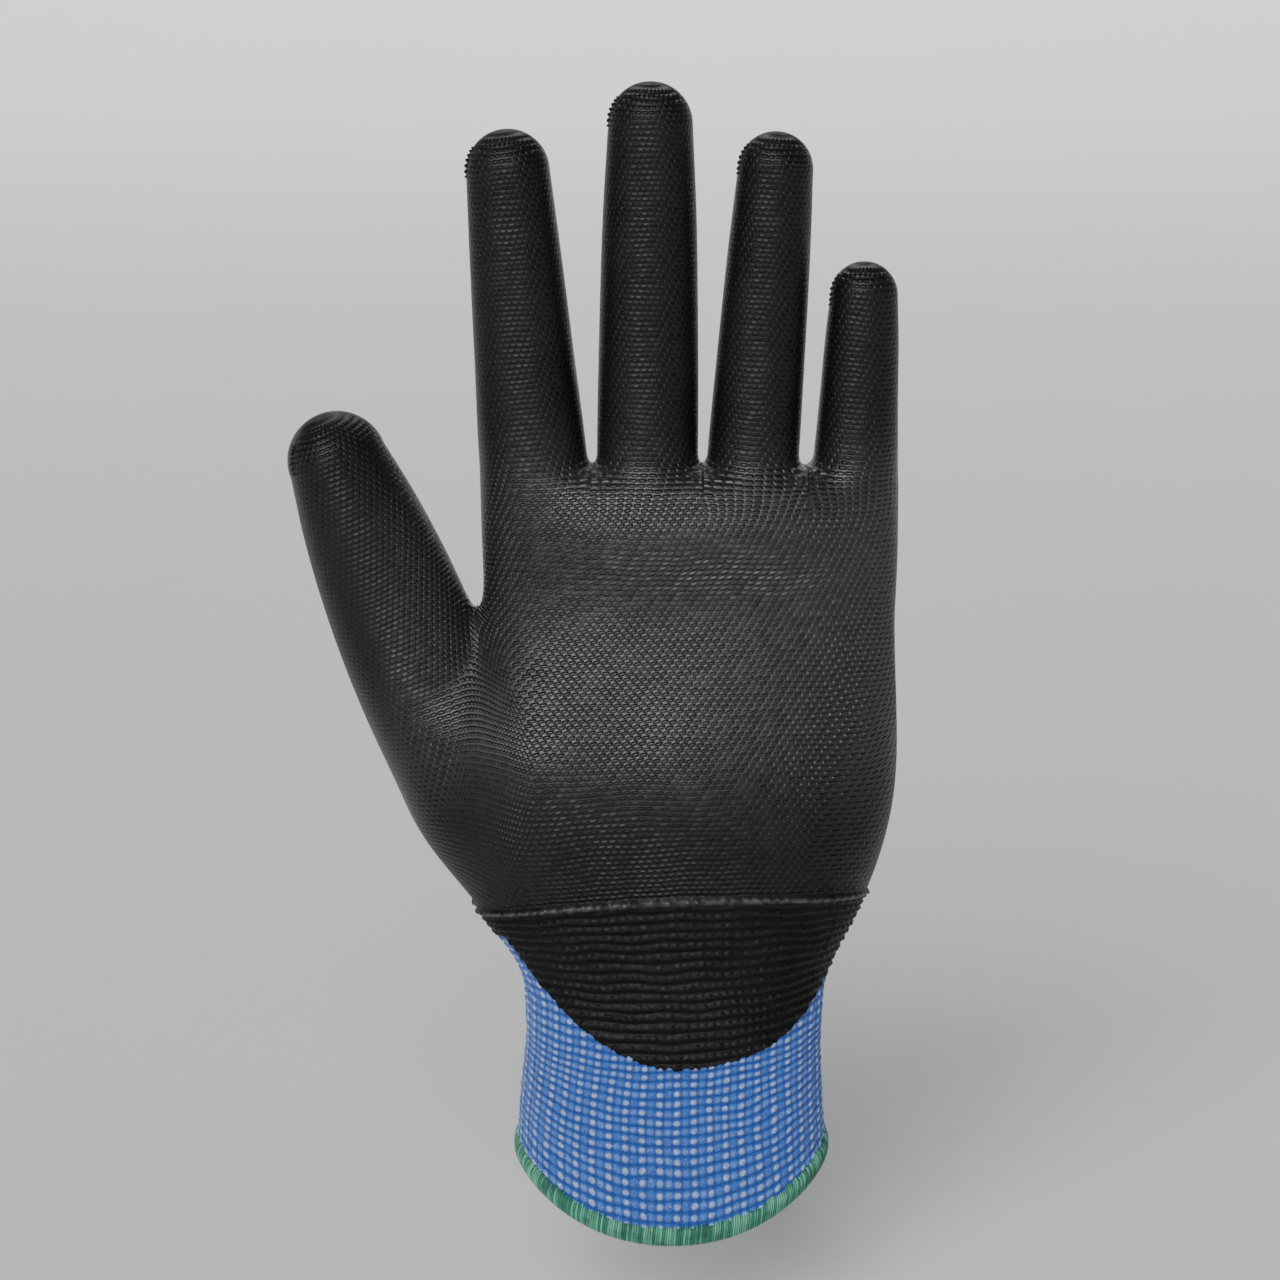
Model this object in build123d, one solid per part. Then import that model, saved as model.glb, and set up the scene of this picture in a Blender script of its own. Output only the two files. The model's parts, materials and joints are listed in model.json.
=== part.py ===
"""Cut-resistant work glove for the left hand, held open in the shape of the hand that wears it.

The glove is a knitted liner (palm, four finger stalls, thumb stall and elasticated cuff) whose palm side and
fingertips carry a thin polyurethane coating, with an overlocked hem round the cuff's mouth.
Frame: millimetres, +Z from the cuff's mouth towards the fingertips, -Y out of the palm, -X towards the thumb.
The origin is the centre of the cuff's mouth, at the level of the hem's lowest points.
The knit bends where the hand's joints are. Each stall is cut into segments there, and a soft crease fills the
wedge that closes as a joint flexes.
"""
from build123d import *
from math import cos, radians, sin, sqrt, tan
import os

# ---- Cloth and coating ----
LINER_WALL = 1.2            # thickness of the 13-gauge knit
COAT = 0.4                  # thickness of the coating on the knit
JOINT_GAP = 0.4             # clear gap between two segments that hinge
CREASE_GAP = 0.15           # clear gap between a soft crease and the segments beside it
FLEX_MARGIN = 1.5           # degrees that a wedge is wider than its joint needs, each side
BIG = 400.0                 # side of the blocks that stand for half-spaces

# ---- Trunk: (height, centre x, half width, half depth) of its rounded sections, coating included ----
TRUNK = [
    (-8, 0.3, 34.8, 24.0),
    (8, 0.2, 34.4, 23.6),
    (25, 0.0, 33.6, 23.0),
    (45, 0.5, 32.4, 22.2),
    (60, 0.3, 33.4, 21.4),
    (72, -1.4, 40.2, 20.0),
    (90, -1.0, 44.6, 18.6),
    (115, 1.5, 45.4, 16.6),
    (140, 3.7, 44.7, 14.8),
    (158, 3.7, 44.9, 13.2),
    (164, 3.7, 44.9, 11.6),
    (167.5, 3.6, 44.4, 8.4),
]
CORNER_SHARE = 0.92         # corner radius of a trunk section, as a share of its half depth

# ---- Cuff ----
HEM_SADDLE_RADIUS = 46.0    # the mouth is lowest at front and back and rises to the sides on this radius
HEM_HEIGHT = 4.2            # from the rim to the top of the overlock thread
HEM_PROUD = 0.9             # how far the overlock thread stands out from the knit
WRIST_Z = 58.0              # height of the wrist's fold line
WRIST_HALF_BAND = 10.5      # half height of the soft band that folds there
WRIST_LIMIT = 45.0
ELASTIC_HEIGHT, ELASTIC_DEPTH = 0.9, 0.5
ELASTIC_FIRST_Z, ELASTIC_STEP, ELASTIC_TURNS = 21.0, 3.4, 8

# ---- Coating edges ----
DIP_LOW_Z, DIP_RADIUS = 39.5, 42.0   # the dipped edge's lowest height at the front, and its curve's radius
DIP_SIDE_Z = 66.0           # height at which the coating reaches right round the front's sides
COAT_WRAP = 3.5             # how far behind the mid-plane the coating reaches on the palm and the stalls
TIP_DIP = 13.0              # length of the fingertip that is coated all round

# ---- Finger stalls ----
# Root and tip of the centreline, (half width, half depth) at the root, the two knuckles and the tip, places
# of the three joints along the length, and how far each joint flexes in degrees.
FINGERS = {
    "index": ((-29.6, 0, 165), (-35.6, -4, 240), [(11.7, 10.9), (10.6, 9.8), (9.7, 8.8), (8.9, 7.8)],
              (0.15, 0.39, 0.67), (45, 90, 55)),
    "middle": ((-5.3, 0, 168), (-4.6, -4, 250), [(10.9, 11.2), (10.6, 10.0), (10.0, 9.0), (9.0, 8.0)],
               (0.11, 0.37, 0.66), (45, 90, 55)),
    "ring": ((17.2, 0, 166), (22.4, -4, 239.5), [(9.9, 10.6), (9.4, 9.3), (8.8, 8.3), (8.0, 7.3)],
             (0.12, 0.37, 0.66), (45, 90, 55)),
    "little": ((39.4, 0, 163), (41.2, -3, 212), [(9.3, 9.4), (8.4, 8.3), (7.8, 7.5), (7.2, 6.7)],
               (0.155, 0.415, 0.69), (40, 80, 50)),
}
STALL_FOOT = [(20.0, None)]          # how far a finger stall runs down inside the palm, at its root's size
DOME_ANGLES = (25, 45, 62, 76, 86)   # places of the sections that round a stall's tip
PIVOT_SHARE = 0.2           # how far palmward of its middle a stall bends, as a share of its half depth

THUMB_ROOT, THUMB_TIP = (-56.4, -2, 129), (-75.2, -7, 179)
THUMB_SIZES = [(15.4, 13.2), (12.6, 11.4), (10.6, 9.6)]   # at root, knuckle and tip
THUMB_JOINTS, THUMB_LIMITS = (0.18, 0.60), (40, 70)
THUMB_ACROSS = 0.35         # share of the thumb's flexion that goes across the palm
# The ball of the thumb runs on below the thumb's root: sizes at depths below it.
THUMB_BALL = [(66.0, (6.4, 9.0)), (44.0, (12.5, 14.6)), (22.0, (14.8, 15.4))]

# ---- Stitching ----
KNOT_PROUD = 0.8            # height of the closing knot on the thumb side of a stall's tip
KNOT_WIDTH, KNOT_FROM_TIP, KNOT_LENGTH, KNOT_FROM_AXIS = 2.2, 3.0, 5.5, 3.0
CROTCHES = [(-17.0, 167.0), (6.5, 167.0), (28.6, 166.6), (-42.6, 136.2)]   # x and z of each tacked crotch
TACK = (2.4, 5.0, 3.2)      # size of a crotch tack


def unit(v):
    return v / v.length


def block_below(z):
    """Everything under a height."""
    return Pos(0, 0, z - BIG / 2) * Box(BIG, BIG, BIG)


def block_above(z):
    return Pos(0, 0, z + BIG / 2) * Box(BIG, BIG, BIG)


def round_box(half_width, half_depth):
    return RectangleRounded(2 * half_width, 2 * half_depth, CORNER_SHARE * half_depth)


def trunk(grow, top_grow=0.0):
    """The closed solid from below the cuff to the fingers' roots, grown by a thickness."""
    sections = []
    for z, x, half_width, half_depth in TRUNK:
        height = z + (top_grow if z == TRUNK[-1][0] else 0)
        sections.append(Pos(x, 0, height) * round_box(half_width + grow, half_depth + grow))
    return loft(sections, ruled=True)


class Stall:
    """A finger or thumb stall: its axis, joints and the frame that its sections and cuts are made in."""

    def __init__(self, root, tip, sizes, joints, limits, foot, across=0.0):
        self.root, self.tip, self.sizes, self.foot = Vector(*root), Vector(*tip), sizes, foot
        self.length = (self.tip - self.root).length
        self.along = unit(self.tip - self.root)
        inward = unit(Vector(0, 1, 0).cross(self.along))
        palmward = Vector(0, -1, 0) * sqrt(1 - across**2) + inward * across
        self.hinge_axis = unit(self.along.cross(palmward))
        self.flex = self.hinge_axis.cross(self.along)
        self.at = [share * self.length for share in joints]
        self.limits = limits

    def marks(self):
        """(distance, size) at the root, at the joints after the first, and where the tip's dome starts."""
        places = [0.0, *self.at[1:], self.length - self.sizes[-1][0]]
        return list(zip(places, self.sizes))

    def size_at(self, distance):
        """Half width and half depth at a distance from the root."""
        marks = self.marks()
        for (start, first), (end, second) in zip(marks, marks[1:]):
            if distance <= end:
                share = max(0.0, (distance - start) / (end - start))
                return tuple(a + (b - a) * share for a, b in zip(first, second))
        return self.sizes[-1]

    def pivot(self, number):
        """A joint's pivot, a little palmward of the stall's middle."""
        distance = self.at[number]
        return self.root + self.along * distance + self.flex * (PIVOT_SHARE * self.size_at(distance)[1])

    def section(self, distance, half_width, half_depth):
        plane = Plane(origin=self.root + self.along * distance, x_dir=self.hinge_axis, z_dir=self.along)
        return plane * Ellipse(half_width, half_depth)

    def solid(self, grow):
        """The closed solid of the stall, grown by a thickness, with its foot inside the palm."""
        sections = []
        foot = [(-depth, size or self.sizes[0]) for depth, size in self.foot]
        for distance, (half_width, half_depth) in foot + self.marks():
            sections.append(self.section(distance, half_width + grow, half_depth + grow))
        tip_width, tip_depth = (size + grow for size in self.sizes[-1])
        dome_start, dome_height = self.length - self.sizes[-1][0], self.sizes[-1][0] + grow
        for angle in DOME_ANGLES:
            share, rise = cos(radians(angle)), sin(radians(angle))
            height = dome_start + dome_height * rise
            sections.append(self.section(height, tip_width * share, tip_depth * share))
        return loft(sections, ruled=True)

    def cut_block(self, number, outline):
        """A block with an outline in (palmward, along) places round a joint, wide enough to cut the stall."""
        plane = Plane(origin=self.pivot(number), x_dir=self.flex, z_dir=-self.hinge_axis)
        return extrude(plane * make_face(Polyline(*outline, close=True)), BIG / 8, both=True)

    def side(self, number, sign):
        """The space beyond (sign 1) or before (sign -1) a joint, with its half of the wedge left out."""
        slope = tan(radians(self.limits[number] / 2 + FLEX_MARGIN))
        near, far, gap = BIG / 12, BIG / 2, JOINT_GAP / 2
        outline = [(-near, gap), (0, gap), (near, gap + near * slope), (near, far), (-near, far)]
        return self.cut_block(number, [(x, sign * y) for x, y in outline])

    def wedge(self, number):
        """The space that closes as a joint flexes, for its soft crease."""
        slope = tan(radians(self.limits[number] / 2 + FLEX_MARGIN))
        near, start = BIG / 12, CREASE_GAP / slope
        reach = JOINT_GAP / 2 + near * slope - CREASE_GAP
        return self.cut_block(number, [(start, 0), (near, reach), (near, -reach)])

    def tip_block(self, length):
        """The space round the last length of the stall."""
        start = Plane(origin=self.tip - self.along * length, x_dir=self.hinge_axis, z_dir=self.along)
        return start * (Pos(0, 0, BIG / 8) * Box(BIG / 4, BIG / 4, BIG / 4))


def coated_half():
    """The space in front of the line where the coating ends on the glove's sides."""
    return Pos(0, COAT_WRAP - BIG / 2, BIG / 4) * Box(BIG, BIG, BIG)


def only(shape):
    """The solids of a shape without crumbs from cutting."""
    found = [s for s in shape.solids() if s.volume > 0.2]
    return found[0] if len(found) == 1 else Compound(found)


stalls = {name: Stall(*given, STALL_FOOT) for name, given in FINGERS.items()}
stalls["thumb"] = Stall(
    THUMB_ROOT, THUMB_TIP, THUMB_SIZES, THUMB_JOINTS, THUMB_LIMITS, THUMB_BALL, THUMB_ACROSS)
SEGMENTS = {name: ("proximal", "middle", "tip") for name in FINGERS} | {"thumb": ("proximal", "tip")}

parts = {}
layers = {"coat": 0.0, "liner": -COAT, "cavity": -COAT - LINER_WALL}
solids = {
    name: {layer: stall.solid(grow) for layer, grow in layers.items()}
    for name, stall in stalls.items()
}


def make_stall(name):
    """One stall: liner and coating of each segment, a crease at each joint and the tip's closing knot."""
    stall, made = stalls[name], solids[name]
    knit = made["liner"] - made["cavity"]
    film = made["coat"] - made["liner"]
    both = made["coat"] - made["cavity"]
    count = len(stall.at)
    for number, segment in enumerate(SEGMENTS[name]):
        space = stall.side(number, 1)
        if number + 1 < count:
            space = space & stall.side(number + 1, -1)
        parts[f"{name}_{segment}_liner"] = only(knit & space)
        coated = film & space
        wrapped = coated & coated_half()
        if number + 1 == count:
            wrapped = wrapped + (coated & stall.tip_block(TIP_DIP))
        parts[f"{name}_{segment}_coating"] = only(wrapped)
        parts[f"{name}_{segment}_crease"] = only(both & stall.wedge(number))
    frame = Plane(origin=stall.tip, x_dir=stall.hinge_axis, z_dir=stall.along)
    knot_space = frame * (Pos(-KNOT_FROM_AXIS - BIG / 16, 0, -KNOT_FROM_TIP - KNOT_LENGTH / 2)
                          * Box(BIG / 8, KNOT_WIDTH, KNOT_LENGTH))
    parts[f"{name}_closing_knot"] = only((stall.solid(KNOT_PROUD) - made["coat"]) & knot_space)


def palm_layer(layer):
    """The hand's body with the stalls' roots, as one closed solid, up to each stall's first joint."""
    whole = trunk(layers[layer], layers[layer])
    for name, stall in stalls.items():
        whole = whole + (solids[name][layer] & stall.side(0, -1))
    return whole


def make_palm():
    outer, middle, inner = (palm_layer(layer) for layer in layers)
    upper = block_above(WRIST_Z + WRIST_HALF_BAND)
    parts["palm_liner"] = only((middle - inner) & upper)
    parts["palm_coating"] = only((outer - middle) & upper & coated_half())
    tacks = [Pos(x, 0, z) * Box(*TACK) - outer for x, z in CROTCHES]
    parts["crotch_tacks"] = Compound([only(tack) for tack in tacks])


def saddle(radius):
    """The space above the mouth's saddle, raised by as much as the radius is under the mouth's own."""
    return Pos(0, 0, HEM_SADDLE_RADIUS) * Rot(90, 0, 0) * Cylinder(radius, BIG)


def make_cuff():
    """The knitted cuff with its saddle-shaped mouth, the overlocked hem and the elastic."""
    below = block_below(WRIST_Z - WRIST_HALF_BAND)
    outside, inside = trunk(-COAT), trunk(-COAT - LINER_WALL)
    cuff = (outside - inside) & saddle(HEM_SADDLE_RADIUS - HEM_PROUD) & below
    parts["cuff_liner"] = only(cuff)
    hem_ring = trunk(-COAT + HEM_PROUD) - trunk(-COAT - LINER_WALL - HEM_PROUD)
    hem = (hem_ring & saddle(HEM_SADDLE_RADIUS) & below) - saddle(HEM_SADDLE_RADIUS - HEM_HEIGHT) - cuff
    parts["hem_overlock_thread"] = only(hem)
    core = inside - trunk(-COAT - LINER_WALL - ELASTIC_DEPTH)
    turns = []
    for turn in range(ELASTIC_TURNS):
        z = ELASTIC_FIRST_Z + turn * ELASTIC_STEP
        turns.append(only(core & block_above(z) & block_below(z + ELASTIC_HEIGHT)))
    parts["cuff_elastic_threads"] = Compound(turns)


def make_wrist():
    """The soft band that folds at the wrist, and the dipped coating on it and on the top of the cuff."""
    low, high = WRIST_Z - WRIST_HALF_BAND, WRIST_Z + WRIST_HALF_BAND
    band = block_above(low + CREASE_GAP) & block_below(high - CREASE_GAP)
    outside = trunk(-COAT)
    parts["wrist_band"] = only((outside - trunk(-COAT - LINER_WALL)) & band)
    dip = Pos(0, 0, DIP_LOW_Z + DIP_RADIUS) * Rot(90, 0, 0) * Cylinder(DIP_RADIUS, BIG)
    dip = dip + block_above(DIP_SIDE_Z)
    film = (trunk(0) - outside) & coated_half() & dip
    parts["wrist_band_coating"] = only(film & band)
    parts["cuff_dip_edge"] = only(film & block_below(low))


if __name__ == "__main__":
    os.makedirs("parts", exist_ok=True)
    for stall_name in stalls:
        make_stall(stall_name)
    make_palm()
    make_cuff()
    make_wrist()
    for node, shape in parts.items():
        export_step(shape, f"parts/{node}.step")
    for stall_name, stall in stalls.items():
        for joint in range(len(stall.at)):
            print(stall_name, joint, "pivot", tuple(stall.pivot(joint)), "axis", tuple(stall.hinge_axis))
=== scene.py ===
"""The looks of the cut-resistant glove: its skin, knit, coating, cuff and stitching, on the CAD frame.

The hand is one smooth skin round the CAD's stalls and palm, meshed from a distance field and then divided
between the joints, one piece round each joint. The wrist and cuff are one knitted tube, whose stitches
follow its mesh's rows and columns. Lengths here are millimetres until a mesh is made.
"""

import json
from math import cos, pi, radians, sin

import bpy
import numpy as np
import openvdb
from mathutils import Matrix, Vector


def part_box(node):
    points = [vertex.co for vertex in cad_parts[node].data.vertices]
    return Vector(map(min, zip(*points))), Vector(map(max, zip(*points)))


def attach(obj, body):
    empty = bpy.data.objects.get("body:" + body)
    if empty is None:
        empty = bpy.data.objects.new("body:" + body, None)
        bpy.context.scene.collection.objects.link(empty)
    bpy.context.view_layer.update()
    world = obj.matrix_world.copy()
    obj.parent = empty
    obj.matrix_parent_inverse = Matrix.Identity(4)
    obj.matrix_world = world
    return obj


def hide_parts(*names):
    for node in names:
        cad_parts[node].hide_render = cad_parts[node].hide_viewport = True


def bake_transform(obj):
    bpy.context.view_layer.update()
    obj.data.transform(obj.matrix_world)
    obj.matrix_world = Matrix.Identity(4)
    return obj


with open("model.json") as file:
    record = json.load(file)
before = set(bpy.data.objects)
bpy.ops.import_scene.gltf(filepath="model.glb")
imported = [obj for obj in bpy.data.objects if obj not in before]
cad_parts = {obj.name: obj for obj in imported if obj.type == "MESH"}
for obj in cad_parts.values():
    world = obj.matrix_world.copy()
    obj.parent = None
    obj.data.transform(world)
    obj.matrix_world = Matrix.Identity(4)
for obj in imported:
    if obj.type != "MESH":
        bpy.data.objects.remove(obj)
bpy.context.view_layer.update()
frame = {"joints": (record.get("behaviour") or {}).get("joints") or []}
MM = 0.001
rng = np.random.default_rng(7)

# ---- Skin ----
VOXEL = 0.5  # pitch of the distance field
BLOCK = 8  # voxels along a coarse cell
INNER_VOXEL = 1.0  # pitch of the skin's inner face
WALL = 1.6  # knit and coating together
BAND = 3.0  # the field is exact this far from the skin
HAND_LOW, HAND_HIGH = np.array([(-88.0, -28.0, 66.0), (56.0, 28.0, 254.0)])  # the distance field's corners
EVERYWHERE = 1e9  # further than any place on the glove

# ---- Hand: (height, centre x, half width, half depth) of the palm's sections ----
SECTIONS = [
    (-10, 0.3, 34.8, 24.0), (8, 0.2, 34.4, 23.6), (25, 0.0, 33.6, 22.8), (45, 0.5, 32.4, 21.2),
    (58, 0.4, 33.2, 19.8), (72, -1.4, 40.2, 18.6), (90, -1.0, 44.6, 17.6), (115, 1.5, 45.4, 16.0),
    (140, 3.7, 44.5, 14.8), (158, 3.7, 43.8, 13.6), (172, 3.7, 43.0, 12.4),
]
SECTION_ROUNDNESS = 2.7  # exponent of a palm section: 2 is an ellipse, more is boxier
PALM_TOP = 167.5
TOP_ROUNDING = 7.0  # how softly the palm's top edge turns over between the fingers
WEB = 3.2  # rounding where a stall leaves the palm
FINGER_WEB = 0.8  # rounding between two finger stalls
BALL_WEB, BALL_WEB_TOP = 16.0, 0.22  # rounding where the thumb's ball leaves the palm, and its share above
BALL_FADE, BALL_TOP_FADE = (68, 92), (108, 130)  # heights over which that rounding grows and shrinks

# ---- Stalls: (half width, half depth) at the root, the joints after the first, and the tip ----
SIZES = {
    "index": [(11.7, 12.0), (10.6, 9.8), (9.7, 8.8), (8.9, 7.9)],
    "middle": [(10.9, 12.4), (10.6, 10.0), (10.0, 9.0), (9.0, 8.1)],
    "ring": [(9.9, 11.8), (9.4, 9.3), (8.8, 8.3), (8.0, 7.4)],
    "little": [(9.3, 10.6), (8.4, 8.3), (7.8, 7.5), (7.2, 6.8)],
    "thumb": [(15.2, 13.2), (12.6, 11.4), (10.6, 9.7)],
}
ROOT_BELOW = {"index": 11.3, "middle": 9.0, "ring": 8.8, "little": 7.6, "thumb": 9.6}
THUMB_BALL = [(82.0, (2.0, 4.0)), (66.0, (6.4, 9.0)), (44.0, (12.5, 14.6)), (22.0, (14.6, 15.4))]
FINGER_FOOT = [(44.0, 0.55), (22.0, 0.96)]  # how far a finger stall runs down inside the palm, and its size
ROOT_CLEAR = 5.3  # a stall's bend starts this far above its root, clear of the crotches
CUT_CLEAR = 1.2  # a bend stops this far short of a cut between pieces
BEND_SPREAD = 0.78  # length of bend either side of a joint, for each radian and millimetre of depth
STALL_ROUNDNESS = 2.25
PIVOT_SHARE = 0.2  # how far palmward of its middle a stall's joints sit, by its half depth
# Each segment of a stall, as its piece and its CAD nodes call it; the thumb has no middle one
SEGMENTS = (("base", "proximal"), ("middle", "middle"), ("end", "tip"))
# Pads and hollows of the palm's front: (x, z, spread in x, spread in z, height)
PADS = [(4.0, 97.0, 46.0, 32.0, 10.5), (6.0, 154.0, 40.0, 10.5, 3.0), (-36.0, 106.0, 17.0, 19.0, 5.0),
        (34.0, 96.0, 14.0, 24.0, 1.0), (16.0, 141.0, 26.0, 8.0, -0.5)]

# ---- Coating ----
COAT_WRAP = 3.5  # how far behind the mid-plane the coating's edge runs
TIP_DIP = 13.0  # length of fingertip that is coated all round
EDGE_RAGGED = 0.45  # how far the edge wanders between stitches
FILM = 0.35  # how far the coating stands proud of the knit
ROWS_PER_COURSE, DASHES_PER_WALE = 1.72, 1.17  # how close the ridges that show through stand
DASH_SHIFT, DASH_TILT = 0.36, 0.4  # how far each row's ridges step sideways, and their tilt
DASH_HEIGHT, STALL_DASH = 0.42, 0.6  # height of a ridge on the palm, and the share of it on the stalls
PALM_FADES, WRIST_FADE = [("Z", 184, 156), ("X", -72, -46)], [("Z", 84, 122)]  # where the palm's painted sheen and its gloss begin

# ---- Knit ----
WALES = 104  # stitches round the cuff and the palm
STALL_WALE, COURSE = 1.9, 1.9  # pitch of the stitches round a stall, and up the hand
WRAP_RADIUS = 14.0  # radius of the palm's sides
ARCH_FADE = (115, 80)  # heights over which the courses take up the raised line's arch
SLANT_FADE = (84, 112)  # heights over which the ridges begin to slant
ROOT_SHARE, THUMB_SHARE = (-10, 3), (-6, 6)  # where the palm's knit turns into a finger's and the thumb's

# ---- Wrist and cuff ----
RIDGE_Z, RIDGE_X, RIDGE_FALL = 77.2, 12.0, 0.0022  # the raised line that ends the ribs is an arch
RIM_RADIUS = 46.0  # the mouth is a saddle of this radius
TUBE_STEP, TUBE_RAYS = 1.5, 240  # height between the tube's outlines, and the points on each
TUBE_RADII, TUBE_HALVINGS = (5.0, 60.0), 18  # where an outline is looked for, and in how many steps
SKIN_LAP = 0.2  # how far the hand's skin runs down under the raised line
WALE_STEPS, COURSE_STEPS = 6, 6  # mesh steps in each stitch of the cuff, across and up
WALL_ROWS = 60  # mesh rows of the cuff's inside
LOW_COURSE, HIGH_COURSE, RIB_PITCH = 2.5, 1.85, 2.3  # course heights by the hem, by the coating and under it
NUB_HEIGHT, MARL_HEIGHT, RIB_HEIGHT = 0.55, 0.34, 0.56
NUB_HALF_WIDTH, NUB_HALF_HEIGHT = 0.53, 0.46  # of a nub, as shares of its stitch
RIB_MIDDLE, RIB_HALF_HEIGHT = 0.06, 0.36  # of a rib, as shares of its course
DIP_Z = 40.0  # height of the coating's edge at the middle of the front
DIP_EDGE = [(-36, 66), (-31.8, 60.2), (-21, 49), (-9.3, 41.7), (0, 39.2), (10, 40.3), (23, 45), (29.5, 50.7),
            (33.8, 57), (38, 64)]
DIP_JAG = 0.5  # how unevenly the coating ends from stitch to stitch
DIP_POKE = 0.6  # how much lower the coating ends between the stitches than on them
DIP_CORNER = 9.0  # rounding where the dipped edge turns up the side
WANDER = 0.16  # how far the stitches stray from straight lines
# The raised line's section, as heights over the wrist at places above its middle, and the mesh rows above it
LIP_PLACES = (-1.3, -0.7, -0.2, 0.3, 0.8, 1.4, 2.2)
LIP_HEIGHTS = (0.0, 0.3, 0.85, 0.95, 0.7, 0.0, -0.7)
LIP_ROWS = (0.3, 0.6, 0.9, 1.3, 1.7, 2.2)
RIB_TOP_HIGHLIGHT = 0.18  # share of painted highlight and gloss on a rib's top, where the raised line's is 1
BACK_LIP = 0.35  # height of the raised line where there is no coating, as a share
RIDGE_FADE = (-1.2, -0.2)  # how far below the raised line the last course gives way to it

# ---- Hem ----
HEM_HEIGHT, HEM_THICK = 4.2, 1.5
HEM_THREADS, THREAD_STEPS, HEM_AROUND = 380, 6, 18
THREAD_HEIGHT, HEM_SLANT = 0.28, 0.18

# ---- Stitching ----
SEAM_START, SEAM_LENGTH, SEAM_TURNS, SEAM_FORWARD = 2.4, 7.0, 6, 1.5  # the closing seam beside each tip
SEAM_RADIUS, SEAM_THREAD = 0.34, 0.22
ELASTIC_TURNS, ELASTIC_RADIUS = 8, 0.4
CROTCHES = [(-17.0, 167.6), (6.5, 167.8), (28.6, 165.0), (-42.6, 134.8)]  # x and z of each crotch
TACK_START, TACK_RUN = (0.0, -1.0, 1.0), (2.2, -12.0, -6.0)  # from the crotch, and from there to the end
TACK_THREAD = 0.16

# ---- Looks: display colours from 0 to 255, and how strongly black shines ----
# BLUE_GAP_SHADE is painted shade in the gaps between stitches
BLUE_DARK, BLUE_LIGHT, BLUE_GAP_SHADE = (10, 48, 140), (72, 130, 218), (10, 40, 118)
WHITE_DARK, WHITE_LIGHT = (142, 164, 224), (205, 212, 240)
MARL_DARK, MARL_LIGHT = (40, 96, 200), (142, 170, 232)
# COAT_PAINTED_SHEEN paints the palm's sheen into its colour
COAT_DARK, COAT_LIGHT, COAT_PAINTED_SHEEN = (18, 17, 17), (26, 24, 23), (38, 34, 32)
# RIB_PAINTED_HIGHLIGHT is a painted highlight on the raised line and the ribs' tops
RIB_DARK, RIB_LIGHT, RIB_PAINTED_HIGHLIGHT = (11, 11, 11), (18, 17, 17), (66, 63, 61)
# HEM_DARK_AND_GAP_SHADE colours random darker patches and the painted shade in the gaps between turns
HEM_LIGHT, HEM_GREEN, HEM_DARK_AND_GAP_SHADE = (106, 186, 152), (44, 124, 98), (10, 52, 48)
ELASTIC_LIGHT, ELASTIC_DARK = (205, 210, 222), (120, 130, 160)
STITCH_LIGHT, STITCH_DARK = (40, 38, 36), (14, 13, 13)
COAT_GLOSS, RIB_GLOSS = (0.29, 0.70), (0.15, 0.60)

# ---- Studio ----
FLOOR_Z, FLOOR_HALF, FLOOR_SHADES = -0.025, 12.0, (0.90, 0.93)
SWEEP_START, SWEEP_END, SWEEP_STEPS, SWEEP_RISE = 7.0, 11.0, 24, 0.2  # the floor turns up behind and beside
SKY_LOW, SKY_HIGH = 0.88, 0.06  # how bright the studio is low down behind the glove, and elsewhere
SKY_BAND, SKY_SIDE = (0.12, 0.30), (-0.25, -0.55)  # rise and depth over which the one turns into the other
SUN_TURN, SUN_ELEVATION, SUN_SPREAD, SUN_STRENGTH = -15.0, 30.0, 36.0, 2.7
CAMERA_DISTANCE, CAMERA_ELEVATION, FRAME_WIDTH = 0.8, 10.0, 0.2786
SENSOR_WIDTH, CAMERA_TARGET = 36.0, (-0.0069, 0, 0.1296)
OBJECT_MIDDLE = (0, 0, 0.13)  # where the lights aim
FLOOR_LIGHT, FLOOR_LIGHT_TARGET = (0.0, 7.0, 6.5), (0.0, 8.0, 0.0)
FLOOR_LIGHT_SIZE, FLOOR_LIGHT_POWER = 8.0, 420.0


def unit(v):
    """A vector, or each row of vectors, at length 1."""
    return v / np.linalg.norm(v, axis=-1, keepdims=True)


def smooth(low, high, x):
    """0 below low, 1 above high and a smooth step between; low may be the larger."""
    t = np.clip((x - low) / (high - low), 0, 1)
    return t * t * (3 - 2 * t)


def curve(x, xs, ys):
    """A smooth curve through the points, with level ends."""
    xs, ys = np.asarray(xs, float), np.asarray(ys, float)
    slopes = np.gradient(ys, xs)
    x = np.clip(x, xs[0], xs[-1])
    i = np.clip(np.searchsorted(xs, x, side="right") - 1, 0, len(xs) - 2)
    h = xs[i + 1] - xs[i]
    t = (x - xs[i]) / h
    a, b = smooth(0, 1, t), t * (1 - t)
    return ys[i] * (1 - a) + ys[i + 1] * a + h * b * ((1 - t) * slopes[i] - t * slopes[i + 1])


def soft_min(a, b, k):
    """The smaller of two distances, rounded over a width k where they meet."""
    h = np.clip(0.5 + 0.5 * (b - a) / k, 0, 1)
    return b + (a - b) * h - k * h * (1 - h)


def ripple(points, size, seed):
    """Smooth irregularity from -1 to 1 with features about size across, from a few random waves."""
    waves = np.random.default_rng(seed)
    total = np.zeros(len(points))
    for _ in range(6):
        direction = unit(waves.normal(size=3)) * (2 * pi / size) * waves.uniform(0.6, 1.4)
        total += np.sin(points @ direction + waves.uniform(0, 2 * pi))
    return total / 3.5


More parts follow.
